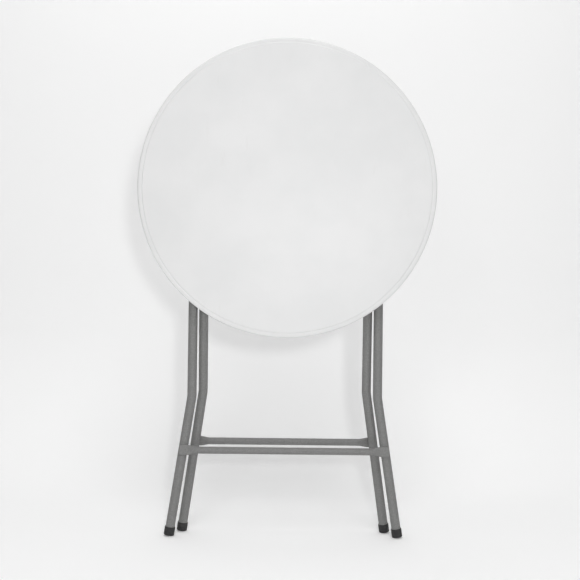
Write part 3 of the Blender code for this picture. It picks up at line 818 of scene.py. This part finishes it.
def makeInnerFrame():
    leftFoot, leftKnee = legRun("inner", "left")
    rightFoot, rightKnee = legRun("inner", "right")
    across = straightX("inner")
    leftCorner = framePoint("inner", -across, 0)
    rightCorner = framePoint("inner", across, 0)
    corners = [leftFoot, leftKnee, leftCorner, rightCorner, rightKnee, rightFoot]
    made = sweepTube("bent_inner_frame", corners, [kneeBend, cornerBend, cornerBend, kneeBend], tube)
    return dress(made, "powder_coat", "inner_frame", "inner_frame")


def makeTieTube():
    # The ends are cut to the round of the legs
    middle = middleOf("outer_top_tube")
    across = straightX("outer")
    reach = Vector((across - tube["radius"] / 2, 0, 0))
    made = sweepTube("tie_tube", [middle - reach, middle + reach], [], bar)
    for side in hands.values():
        spot = (side * across, middle.y, middle.z)
        turn = (leans["outer"], 0, 0)
        leg = addPrism("leg_round", tube["cutSides"], tube["radius"], 4 * bar["radius"], spot, turn)
        cutPiece(made, leg, kind="rounded")
    return dress(made, "powder_coat", "outer_frame", "outer_top_tube")


def makeCrossbar(kind):
    # Half a bar, extruded from the middle outwards and pressed flat by resizing, then mirrored
    node = f"{kind}_crossbar"
    low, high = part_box(node)
    half = (high.x - low.x) / 2
    flatStart = half - bar["flatLength"]
    steps = [(flatStart - bar["taperLength"], 0)]
    for step in range(1, bar["taperSteps"] + 1):
        share = step / bar["taperSteps"]
        pressed = (1 - math.cos(math.pi * share)) / 2
        steps.append((flatStart - bar["taperLength"] * (1 - share), pressed))
    steps.append((half - bar["endRound"], 1))
    made = addCircle(f"pressed_{kind}_bar", bar["sides"], bar["radius"], (0, 0, 0), (1, 0, 0))
    along, tall, deep = 0, 1, 1
    for nextAlong, pressed in steps:
        extrude((nextAlong - along, 0, 0))
        nextTall = 1 + (bar["flatHeight"] / 2 / bar["radius"] - 1) * pressed
        nextDeep = 1 + (bar["flatThickness"] / 2 / bar["radius"] - 1) * pressed
        middle = (nextAlong, 0, 0)
        bpy.ops.transform.resize(value=(1, nextDeep / deep, nextTall / tall), center_override=middle)
        along, tall, deep = nextAlong, nextTall, nextDeep
    extrude((bar["endRound"], 0, 0))
    shares = (1, *bar["endShares"])
    bpy.ops.transform.resize(value=shares, center_override=(half, 0, 0))
    bpy.ops.mesh.edge_face_add()
    bpy.ops.object.mode_set(mode="OBJECT")
    applyModifier(made, "MIRROR", use_axis=(True, False, False), use_clip=True)
    drain = addPrism("drain", bar["drainSides"], bar["drain"], bar["drainDepth"])
    settle(drain, (0, -barFaces[kind] * bar["radius"], 0), facing=(0, 1, 0))
    cutPiece(made, drain, kind="pressed")
    settle(made, (low + high) / 2, turn=Matrix.Rotation(leans[kind], 4, "X"))
    return dress(made, "powder_coat", bodyOf(node), node)


for hand in hands:
    makeOuterLeg(hand)
makeInnerFrame()
makeTieTube()
makeCrossbar("outer")
makeCrossbar("inner")
print("tubes made")


# Rubber caps on the feet and plugs in the leg tops

cap = {
    "radius": 0.01425,
    "height": 0.023,
    "bore": 0.0128,
    "floor": 0.004,
    "edge": 0.0026,
    "edgeSteps": 6,
    "lip": 0.0008,
    "lipSteps": 4,
    "sides": 48,
    "grooveUp": 0.01794,
    "grooveDepth": 0.0003,
    "grooveFloor": 0.0006,
    "grooveMouth": 0.0014,
    "treadRadius": 0.0085,
    "treadInner": 0.0051,
    "treadDepth": 0.0008,
}
plug = {
    "radius": 0.0125,
    "head": 0.003,
    "dome": [(0.25, 1), (0.6, 0.93), (0.85, 0.72), (0.97, 0.4), (1, 0.15), (1, 0)],
    "stem": 0.0110,
    "length": 0.012,
    "bevel": 0.001,
    "gap": 0.0003,
    "sides": 40,
}


def makeFootCap():
    radius, groove, tread = cap["radius"], cap["grooveUp"], cap["treadDepth"]
    lip = (radius - cap["lip"], cap["height"] - cap["lip"])
    edge = (radius - cap["edge"], cap["edge"])
    rings = [
        (cap["bore"], cap["floor"]),
        (cap["bore"], cap["height"]),
        *roundCorner(lip, cap["lip"], 90, 0, cap["lipSteps"]),
        (radius, groove + cap["grooveMouth"] / 2),
        (radius - cap["grooveDepth"], groove + cap["grooveFloor"] / 2),
        (radius - cap["grooveDepth"], groove - cap["grooveFloor"] / 2),
        (radius, groove - cap["grooveMouth"] / 2),
        *roundCorner(edge, cap["edge"], 0, -90, cap["edgeSteps"]),
        (cap["treadRadius"] + tread, 0),
        (cap["treadRadius"], tread),
        (cap["treadInner"], tread),
        (cap["treadInner"] - tread, 0),
    ]
    made = turnPiece("foot_cap", rings, cap["sides"])
    fillEnds(made, cap["floor"])
    fillEnds(made, 0, reach=rings[-1][0])
    return finishMesh(made, "rounded")


def domeRings(radius, height, dome):
    # A low domed head that stands on z = 0, from the shares of its radius and height
    return [(radius * out, height * up) for out, up in dome]


def makePlug():
    stem, end = plug["stem"], -plug["length"]
    rings = [
        *domeRings(plug["radius"], plug["head"], plug["dome"]),
        (stem, 0),
        (stem, end + plug["bevel"]),
        (stem - plug["bevel"], end),
    ]
    made = turnPiece("plug", rings, plug["sides"])
    fillEnds(made, plug["head"], end)
    return finishMesh(made, "rounded")


def placeCopies(first, places):
    # One copy of a modelled piece for each (name, place, facing, finish, node)
    for name, place, facing, finish, node in places:
        made = settle(copyPiece(first, name), place, facing=facing)
        dress(made, finish, bodyOf(node), node)
    bpy.data.objects.remove(first)


capPlaces = []
plugPlaces = []
for hand, side in hands.items():
    for kind in axes:
        node = f"{kind}_foot_cap_{hand}"
        foot, knee = legRun(kind, hand)
        capPlaces.append((f"rubber_{node}", mounts[f"foot_{kind}_{hand}"], knee - foot, "rubber", node))
    node = f"leg_plug_{hand}"
    seat = framePoint("outer", side * straightX("outer"), -tube["legTop"] - plug["gap"])
    up = framePoint("outer", 0, 0) - framePoint("outer", 0, 1)
    plugPlaces.append((f"domed_{node}", seat, up, "rubber", node))
placeCopies(makeFootCap(), capPlaces)
placeCopies(makePlug(), plugPlaces)
print("caps and plugs made")


# Turned fittings: pins, bolts, nuts, washers, spacers, sleeves and screws

ringFit = {"sides": 48, "edge": 0.0003, "play": 0.0002}
sleeve = {"wall": 0.0027, "edge": 0.0007, "groove": 0.0005, "grooveWidth": 0.0016, "grooveInset": 0.0050}
pin = {"head": 0.00725, "headHeight": 0.003, "shank": 0.004, "tip": 0.0003, "sides": 40}
bolt = {
    "head": 0.007,
    "headHeight": 0.0042,
    "shank": 0.004,
    "tip": 0.0008,
    "threadDepth": 0.0005,
    "pitch": 0.00125,
    "threads": 9,
    "socketFlats": 0.005,
    "socketDepth": 0.0026,
    "sides": 40,
}
nut = {
    "flats": 0.013,
    "chamfer": 0.0006,
    "chamferHeight": 0.00036,
    "shoulderHeight": 0.00054,
    "collar": 0.0058,
    "collarHeight": 0.0020,
    "collarEdge": 0.0006,
    "fillet": (0.0004, 0.0002),
    "bore": 0.0041,
    "sides": 48,
    "boreSides": 32,
}
screw = {
    "head": 0.0045,
    "headHeight": 0.0026,
    "shank": 0.00225,
    "tip": 0.003,
    "point": 0.0003375,
    "length": 0.016,
    "slotWidth": 0.0011,
    "slotLength": 0.0046,
    "slotDepth": 0.0013,
    "sides": 28,
}
headDome = [(0.30, 1), (0.62, 0.95), (0.84, 0.78), (0.96, 0.50), (1, 0.20), (1, 0.06), (0.98, 0)]
edgeMiddle = 0.3  # how far in a rounded edge has its middle, as a share of its radius
hexagon = 6


def makeRing(name, bore, outer, height, edge, grooves=()):
    # A turned ring about Z: its section runs down the bore and back up the outside
    half = height / 2
    inset = edge * edgeMiddle
    rings = [(bore, half), (bore, -half)]
    rings += [(outer - edge, -half), (outer - inset, inset - half), (outer, edge - half)]
    for middle, width, depth in grooves:
        rings += [
            (outer, middle - width / 2 - depth),
            (outer - depth, middle - width / 2),
            (outer - depth, middle + width / 2),
            (outer, middle + width / 2 + depth),
        ]
    rings += [(outer, half - edge), (outer - inset, half - inset), (outer - edge, half), (bore, half)]
    return finishMesh(turnPiece(name, rings, ringFit["sides"]))


def cornerOf(flats):
    # The corner radius of a hexagon this wide across its flats
    return flats / 2 / math.cos(math.pi / hexagon)


def makePin(length):
    rings = [
        *domeRings(pin["head"], pin["headHeight"], headDome),
        (pin["shank"], 0),
        (pin["shank"], pin["tip"] - length),
        (pin["shank"] - pin["tip"], -length),
    ]
    made = turnPiece("pin", rings, pin["sides"])
    fillEnds(made, pin["headHeight"], -length)
    return finishMesh(made)


def makeBolt(length):
    crest, end = bolt["shank"], bolt["tip"] - length
    rings = [*domeRings(bolt["head"], bolt["headHeight"], headDome), (crest, 0)]
    for thread in range(bolt["threads"], 0, -1):
        height = end + thread * bolt["pitch"]
        rings += [(crest, height), (crest - bolt["threadDepth"], height - bolt["pitch"] / 2)]
    rings += [(crest, end), (crest - bolt["tip"], -length)]
    made = turnPiece("bolt", rings, bolt["sides"])
    fillEnds(made, bolt["headHeight"], -length)
    finishMesh(made)
    corner = cornerOf(bolt["socketFlats"])
    cutPiece(made, addPrism("socket", hexagon, corner, 2 * bolt["socketDepth"], (0, 0, bolt["headHeight"])))
    return made


def makeNut(height):
    # A hexagon whose corners are turned off, with a round collar for the lock ring
    half = height / 2
    corner, collar = cornerOf(nut["flats"]), nut["collar"]
    shoulder = half - nut["collarHeight"]
    filletWidth, filletHeight = nut["fillet"]
    rings = [
        (corner - nut["chamfer"], -half),
        (corner, nut["chamferHeight"] - half),
        (corner, shoulder - nut["shoulderHeight"]),
        (collar + filletWidth, shoulder),
        (collar, shoulder + filletHeight),
        (collar, half - nut["collarEdge"]),
        (collar - nut["collarEdge"], half),
    ]
    envelope = turnPiece("nut_envelope", rings, nut["sides"])
    fillEnds(envelope, -half, half)
    finishMesh(envelope)
    made = addPrism("nut", hexagon, corner, 2 * height)
    cutPiece(made, envelope, "INTERSECT")
    cutPiece(made, addPrism("nut_bore", nut["boreSides"], nut["bore"], 2 * height))
    return made


def makeScrew():
    long, wide = screw["slotLength"], screw["slotWidth"]
    rings = [
        *domeRings(screw["head"], screw["headHeight"], headDome),
        (screw["shank"], 0),
        (screw["shank"], screw["tip"] - screw["length"]),
        (screw["point"], -screw["length"]),
    ]
    made = turnPiece("screw", rings, screw["sides"])
    fillEnds(made, screw["headHeight"], -screw["length"])
    finishMesh(made)
    for size in ((long, wide), (wide, long)):
        startFresh()
        bpy.ops.mesh.primitive_cube_add(size=1, location=(0, 0, screw["headHeight"]))
        bpy.context.object.scale = (*size, 2 * screw["slotDepth"])
        cutPiece(made, keepNew("slot"))
    return made


def lengthOf(node):
    low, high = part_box(node)
    return high.x - low.x


def radiusOf(node):
    low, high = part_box(node)
    return (high.y - low.y) / 2


def bothSides(prefix, stem, finish):
    # Where a fitting sits on each side of the table, facing outwards
    return [
        (f"{prefix}_{stem}_{hand}", middleOf(f"{stem}_{hand}"), outward[hand], finish, f"{stem}_{hand}")
        for hand in hands
    ]


outward = {hand: Vector((side, 0, 0)) for hand, side in hands.items()}

for stem, shank in (("pivot_spacer", pin["shank"]), ("hinge_washer", bolt["shank"])):
    node = stem + "_right"
    first = makeRing(stem, shank + ringFit["play"], radiusOf(node), lengthOf(node), ringFit["edge"])
    placeCopies(first, bothSides("turned", stem, "nylon"))

outer, long = radiusOf("bar_sleeve_right"), lengthOf("bar_sleeve_right")
spot = long / 2 - sleeve["grooveInset"]
grooves = [(middle, sleeve["grooveWidth"], sleeve["groove"]) for middle in (-spot, spot)]
first = makeRing("sleeve", outer - sleeve["wall"], outer, long, sleeve["edge"], grooves)
placeCopies(first, bothSides("turned", "bar_sleeve", "nylon"))

pinSpots = []
for kind, way in (("outer", 1), ("inner", -1)):
    for hand in hands:
        node = f"pivot_pin_{kind}_{hand}"
        facing = outward[hand] * way
        seat = middleOf(node) + facing * (lengthOf(node) / 2 - pin["headHeight"])
        pinSpots.append((f"domed_{node}", seat, facing, "zinc", node))
placeCopies(makePin(lengthOf("pivot_pin_outer_right") - pin["headHeight"]), pinSpots)

boltSpots = []
nutSpots = []
for hand in hands:
    node = f"hinge_bolt_{hand}"
    seat = middleOf(node) + outward[hand] * (lengthOf(node) / 2 - bolt["headHeight"])
    boltSpots.append((f"socket_{node}", seat, outward[hand], "zinc", node))
    node = f"hinge_nut_{hand}"
    nutSpots.append((f"lock_{node}", middleOf(node), -outward[hand], "zinc", node))
placeCopies(makeBolt(lengthOf("hinge_bolt_right") - bolt["headHeight"]), boltSpots)
placeCopies(makeNut(lengthOf("hinge_nut_right")), nutSpots)

screwSpots = []
for hand in hands:
    for stem in ("bracket", "clip"):
        for number in (1, 2):
            node = f"{stem}_screw_{hand}_{number}"
            low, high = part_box(node)
            seat = Vector(((low.x + high.x) / 2, high.y - screw["headHeight"], (low.z + high.z) / 2))
            screwSpots.append((f"cross_{node}", seat, (0, 1, 0), "zinc", node))
placeCopies(makeScrew(), screwSpots)
print("fittings made")


# Clips and brackets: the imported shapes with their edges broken

softEdges = {"top_clip": (0.0006, "nylon"), "hinge_bracket": (0.0004, "powder_coat")}
softening = {"join": 0.00002, "flatAngle": 1, "cornerAngle": 40, "segments": 2}


def softenCopy(node, width, finish):
    made = bpy.data.objects.new(f"soft_{node}", nodes[node].data.copy())
    bpy.context.scene.collection.objects.link(made)
    makeActive(made)
    bpy.ops.object.mode_set(mode="EDIT")
    bpy.ops.mesh.select_all(action="SELECT")
    bpy.ops.mesh.remove_doubles(threshold=softening["join"])
    bpy.ops.mesh.dissolve_limited(angle_limit=math.radians(softening["flatAngle"]))
    bpy.ops.mesh.normals_make_consistent(inside=False)
    bpy.ops.object.mode_set(mode="OBJECT")
    applyModifier(
        made, "BEVEL", limit_method="ANGLE", angle_limit=math.radians(softening["cornerAngle"]),
        width=width, segments=softening["segments"], use_clamp_overlap=True,
    )
    finishMesh(made, "rounded")
    return dress(made, finish, bodyOf(node), node)


for stem, (width, finish) in softEdges.items():
    for hand in hands:
        softenCopy(f"{stem}_{hand}", width, finish)
print("clips and brackets made")


# Weld beads, where the bars meet the legs

weld = {
    "radius": 0.0013,
    "sunk": 0.0003,
    "ripple": 0.00025,
    "spread": 52,
    "steps": 72,
    "sides": 8,
    "stepMatch": 0.0005,
}


def addWeldRing(name, reach, centre, facing):
    # A torus with every other ring of points drawn in, as weld ripples are
    startFresh()
    turn = Vector(facing).to_track_quat("Z", "Y").to_euler()
    bpy.ops.mesh.primitive_torus_add(
        major_radius=reach, minor_radius=weld["radius"], major_segments=weld["steps"],
        minor_segments=weld["sides"], location=centre, rotation=turn,
    )
    made = keepNew(name)
    across = Vector(facing).orthogonal().normalized()
    beside = Vector(facing).cross(across).normalized()
    step = 2 * math.pi / weld["steps"]

    def isEven(point):
        out = point - centre
        return round(math.atan2(out.dot(beside), out.dot(across)) / step) % 2 == 0

    selectParts(made, isEven, "VERT")
    bpy.ops.transform.shrink_fatten(value=-weld["ripple"])
    return made


def makeBarWelds(kind):
    # Above and below each pressed end, round the side of the leg that it lies on
    reach = tube["radius"] + weld["radius"] - weld["sunk"] * 2
    limit = math.radians(weld["spread"])
    for hand in hands:
        foot, knee = legRun(kind, hand)
        for label, up in (("upper", 1), ("lower", -1)):
            height = middleOf(f"{kind}_crossbar").z + up * (bar["flatHeight"] / 2 + weld["sunk"])
            centre = foot.lerp(knee, (height - foot.z) / (knee.z - foot.z))
            made = addWeldRing(f"{kind}_bar_weld_{hand}_{label}", reach, centre, (0, 0, 1))

            def isBeyond(point):
                out = point - centre
                return abs(math.atan2(out.x, barFaces[kind] * out.y)) > limit

            selectParts(made, isBeyond, "VERT")
            bpy.ops.mesh.delete(type="VERT")
            bpy.ops.mesh.select_all(action="SELECT")
            bpy.ops.mesh.fill_holes(sides=0)
            finishMesh(made, "bead")
            dress(made, "powder_coat", bodyOf(f"{kind}_crossbar"))


def makeTieWelds():
    # Round each end of the tie tube, drawn back to the line where it meets the round leg
    middle = middleOf("outer_top_tube")
    reach = bar["radius"] + weld["radius"] - weld["sunk"] * 2
    for hand, side in hands.items():
        centre = Vector((side * (straightX("outer") - tube["radius"]), middle.y, middle.z))
        made = addWeldRing(f"tie_tube_weld_{hand}", reach, centre, (side, 0, 0))
        for step in range(1, weld["steps"] // 4 + 1):
            deep = math.sin(2 * math.pi * step / weld["steps"])
            back = tube["radius"] - math.sqrt(tube["radius"] ** 2 - (reach * deep) ** 2)

            def atStep(point):
                out = point - centre
                return abs(abs(out.y) / math.hypot(out.y, out.z) - deep) < weld["stepMatch"]

            selectParts(made, atStep, "VERT")
            bpy.ops.transform.translate(value=(side * back, 0, 0))
        finishMesh(made, "bead")
        dress(made, "powder_coat", "outer_frame")


makeBarWelds("outer")
makeBarWelds("inner")
makeTieWelds()
print("welds made")


# Floor and backdrop: one pale sweep that only shows its front, with painted light that makes the floor
# lighter than the wall

sweep = {
    "front": -4.0,
    "wall": 0.90,
    "height": 3.6,
    "halfWidth": 4.0,
    "bend": 0.50,
    "steps": 24,
    # painted light: the floor is painted lighter than the wall, as if more light fell on it
    "floorColour": (0.97, 0.97, 0.97),
    "wallColour": (0.915, 0.915, 0.915),
    "blendHeight": 0.7,
    "glow": 0.10,
    "roughness": 0.9,
    "gloss": 0.1,
}


def makeSweep():
    startFresh()
    bpy.ops.mesh.primitive_plane_add(size=1, location=(0, 0, 0))
    made = bpy.context.object
    made.name = "studio_sweep"
    bpy.ops.object.mode_set(mode="EDIT")
    bpy.ops.mesh.select_all(action="SELECT")
    depth = sweep["wall"] - sweep["bend"] - sweep["front"]
    bpy.ops.transform.resize(value=(2 * sweep["halfWidth"], depth, 1))
    bpy.ops.transform.translate(value=(0, sweep["front"] + depth / 2, 0))
    selectParts(made, lambda middle: middle.y > sweep["front"] + depth - joined)
    middle = (0, sweep["wall"] - sweep["bend"], sweep["bend"])
    bpy.ops.mesh.spin(steps=sweep["steps"], angle=math.pi / 2, center=middle, axis=(-1, 0, 0))
    extrude((0, 0, sweep["height"] - sweep["bend"]))
    bpy.ops.object.mode_set(mode="OBJECT")
    made.data.shade_smooth()
    return made


def makeSweepMaterial():
    made, tree, shader, where = newFinish("pale paper", sweep["floorColour"], sweep["roughness"])
    shader.inputs["Specular IOR Level"].default_value = sweep["gloss"]
    parts = addNode(tree, "ShaderNodeSeparateXYZ", (-1100, 300))
    tree.links.new(where, parts.inputs[0])
    # Painted light: over the blend height the colour goes from the lighter painted floor to the darker wall
    height = addMath(tree, "DIVIDE", (-900, 300), parts.outputs["Z"], sweep["blendHeight"])
    paintedLightRise = addRamp(tree, (-700, 300), height, [(0, 0), (1, 1)])
    colour = addMix(tree, (-400, 200), paintedLightRise, (*sweep["floorColour"], 1), (*sweep["wallColour"], 1))
    tree.links.new(colour, shader.inputs["Base Color"])
    path = addNode(tree, "ShaderNodeLightPath", (-900, -200))
    direct, mirrored = path.outputs["Is Camera Ray"], path.outputs["Is Glossy Ray"]
    seen = addMath(tree, "ADD", (-650, -200), direct, mirrored)
    glow = addMath(tree, "MULTIPLY", (-400, -200), seen, sweep["glow"])
    shader.inputs["Emission Color"].default_value = (1, 1, 1, 1)
    tree.links.new(glow, shader.inputs["Emission Strength"])
    back = addNode(tree, "ShaderNodeNewGeometry", (-300, 500)).outputs["Backfacing"]
    clear = addNode(tree, "ShaderNodeBsdfTransparent", (0, 300))
    mixed = addNode(tree, "ShaderNodeMixShader", (300, 200))
    tree.links.new(back, mixed.inputs[0])
    tree.links.new(shader.outputs[0], mixed.inputs[1])
    tree.links.new(clear.outputs[0], mixed.inputs[2])
    tree.links.new(mixed.outputs[0], tree.nodes["Material Output"].inputs["Surface"])
    return made


floor = makeSweep()
floor.data.materials.append(makeSweepMaterial())


# Light

lamps = {
    "key": {"place": (0.17, -2.86, 0.90), "aim": (0, 0, 0.75), "size": 0.16, "watts": 19.6},
    "fill": {"place": (-0.5, -2.7, 1.7), "aim": (0, 0, 0.75), "size": 0.7, "watts": 4.2},
    "overhead": {"place": (0.3, -3.4, 5.2), "aim": (0, 0, 0.7), "size": 3.0, "watts": 96},
    "wall": {"place": (-0.15, 0.1, 3.1), "aim": (-0.1, 0.9, 1.3), "size": 1.6, "watts": 11.5},
}
skyStrength = 0.285


def makeLamp(name):
    values = lamps[name]
    data = bpy.data.lights.new(name, "AREA")
    data.shape = "DISK"
    data.size = values["size"]
    data.energy = values["watts"]
    made = bpy.data.objects.new(name, data)
    bpy.context.scene.collection.objects.link(made)
    made.location = values["place"]
    look = Vector(values["aim"]) - made.location
    made.rotation_euler = look.to_track_quat("-Z", "Y").to_euler()
    return made


for lamp in lamps:
    makeLamp(lamp)

world = bpy.data.worlds.new("studio")
bpy.context.scene.world = world
world.use_nodes = True
sky = world.node_tree.nodes["Background"]
sky.inputs["Color"].default_value = (1, 1, 1, 1)
sky.inputs["Strength"].default_value = skyStrength


# Camera, at the photograph's viewing angle

view = {
    "place": (-0.017, -2.5, 0.710),
    "pan": 0.011,
    "tilt": 0.0163,
    "roll": 0.0126,
    "focalPixels": 919.5,
    "imagePixels": 580,
    "sensorWidth": 36,
}


def makeCamera():
    data = bpy.data.cameras.new("camera")
    data.sensor_width = view["sensorWidth"]
    data.lens = view["focalPixels"] / view["imagePixels"] * data.sensor_width
    made = bpy.data.objects.new("camera", data)
    bpy.context.scene.collection.objects.link(made)
    turn = (
        Matrix.Rotation(-view["pan"], 4, "Z")
        @ Matrix.Rotation(math.pi / 2 - view["tilt"], 4, "X")
        @ Matrix.Rotation(view["roll"], 4, "Z")
    )
    made.matrix_world = Matrix.Translation(view["place"]) @ turn
    bpy.context.scene.camera = made


makeCamera()
bpy.context.scene.view_settings.view_transform = "Standard"
